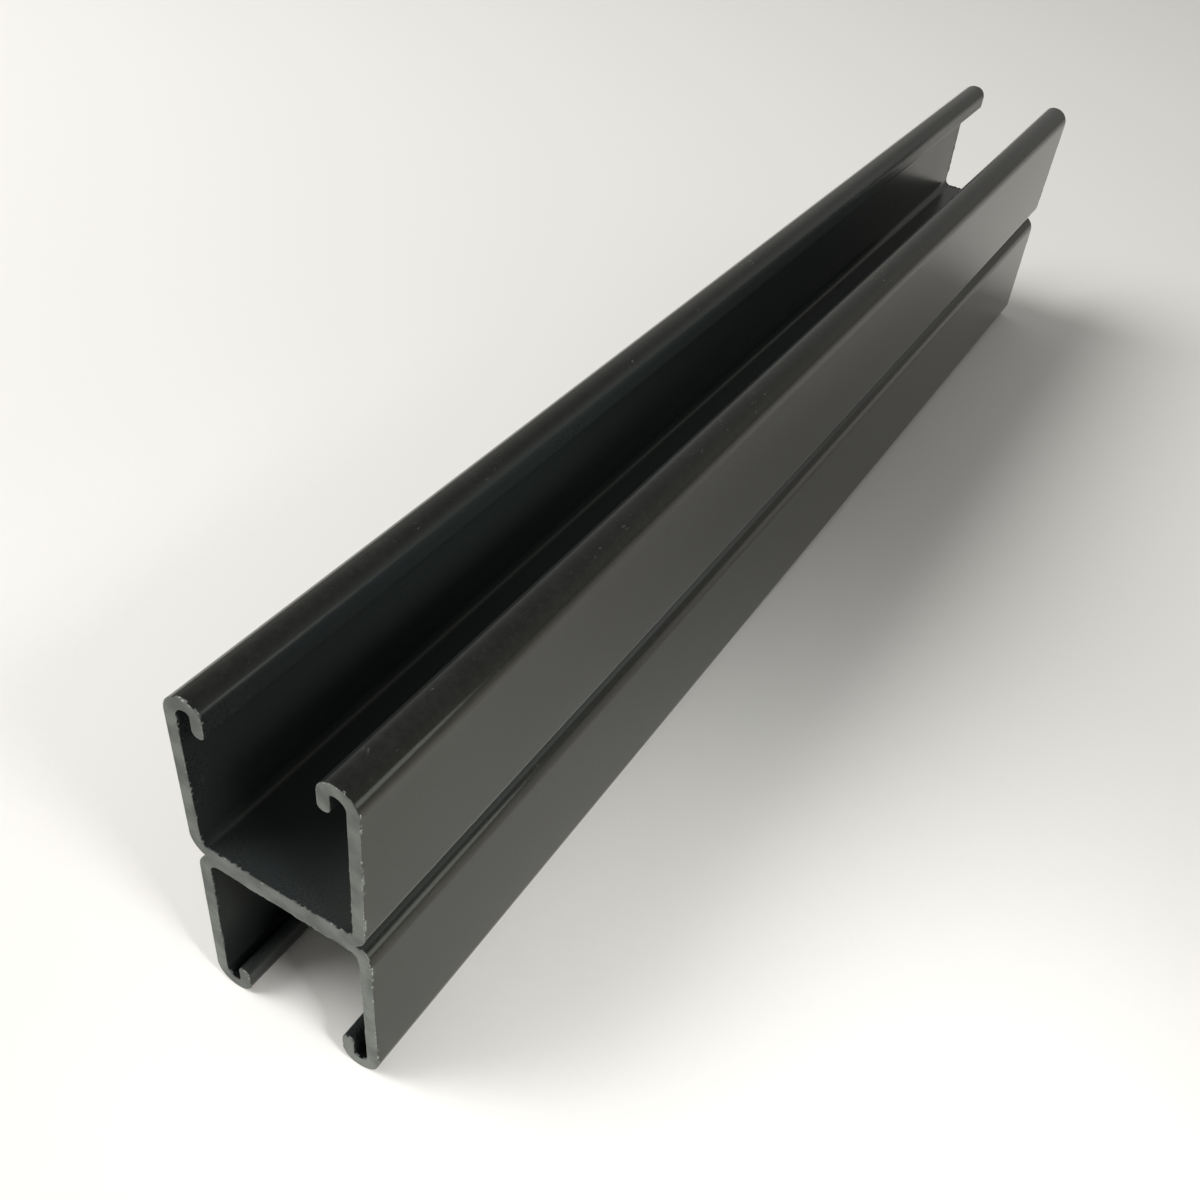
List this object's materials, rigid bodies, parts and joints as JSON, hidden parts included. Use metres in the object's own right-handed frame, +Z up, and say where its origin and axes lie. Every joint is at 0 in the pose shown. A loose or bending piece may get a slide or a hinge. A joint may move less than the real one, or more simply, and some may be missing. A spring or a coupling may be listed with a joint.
{
  "type": "strut channel",
  "caption": "Back-to-back strut channel: two lipped steel channels joined web to web, with a plain slot along the top and the underside.",
  "frame": {"origin": "on the floor under the middle of the length and width", "axes": "+Z up through the upper slot, +Y along the length, +X across the width"},
  "size_m": [0.0416, 0.4064, 0.0826],
  "materials": {
    "black_coat": "smooth semi-gloss black coat over rolled steel, saw-cut ends left matte grey"
  },
  "bodies": {
    "root": {"upper_channel": "black_coat", "lower_channel": "black_coat"}
  },
  "joints": []
}
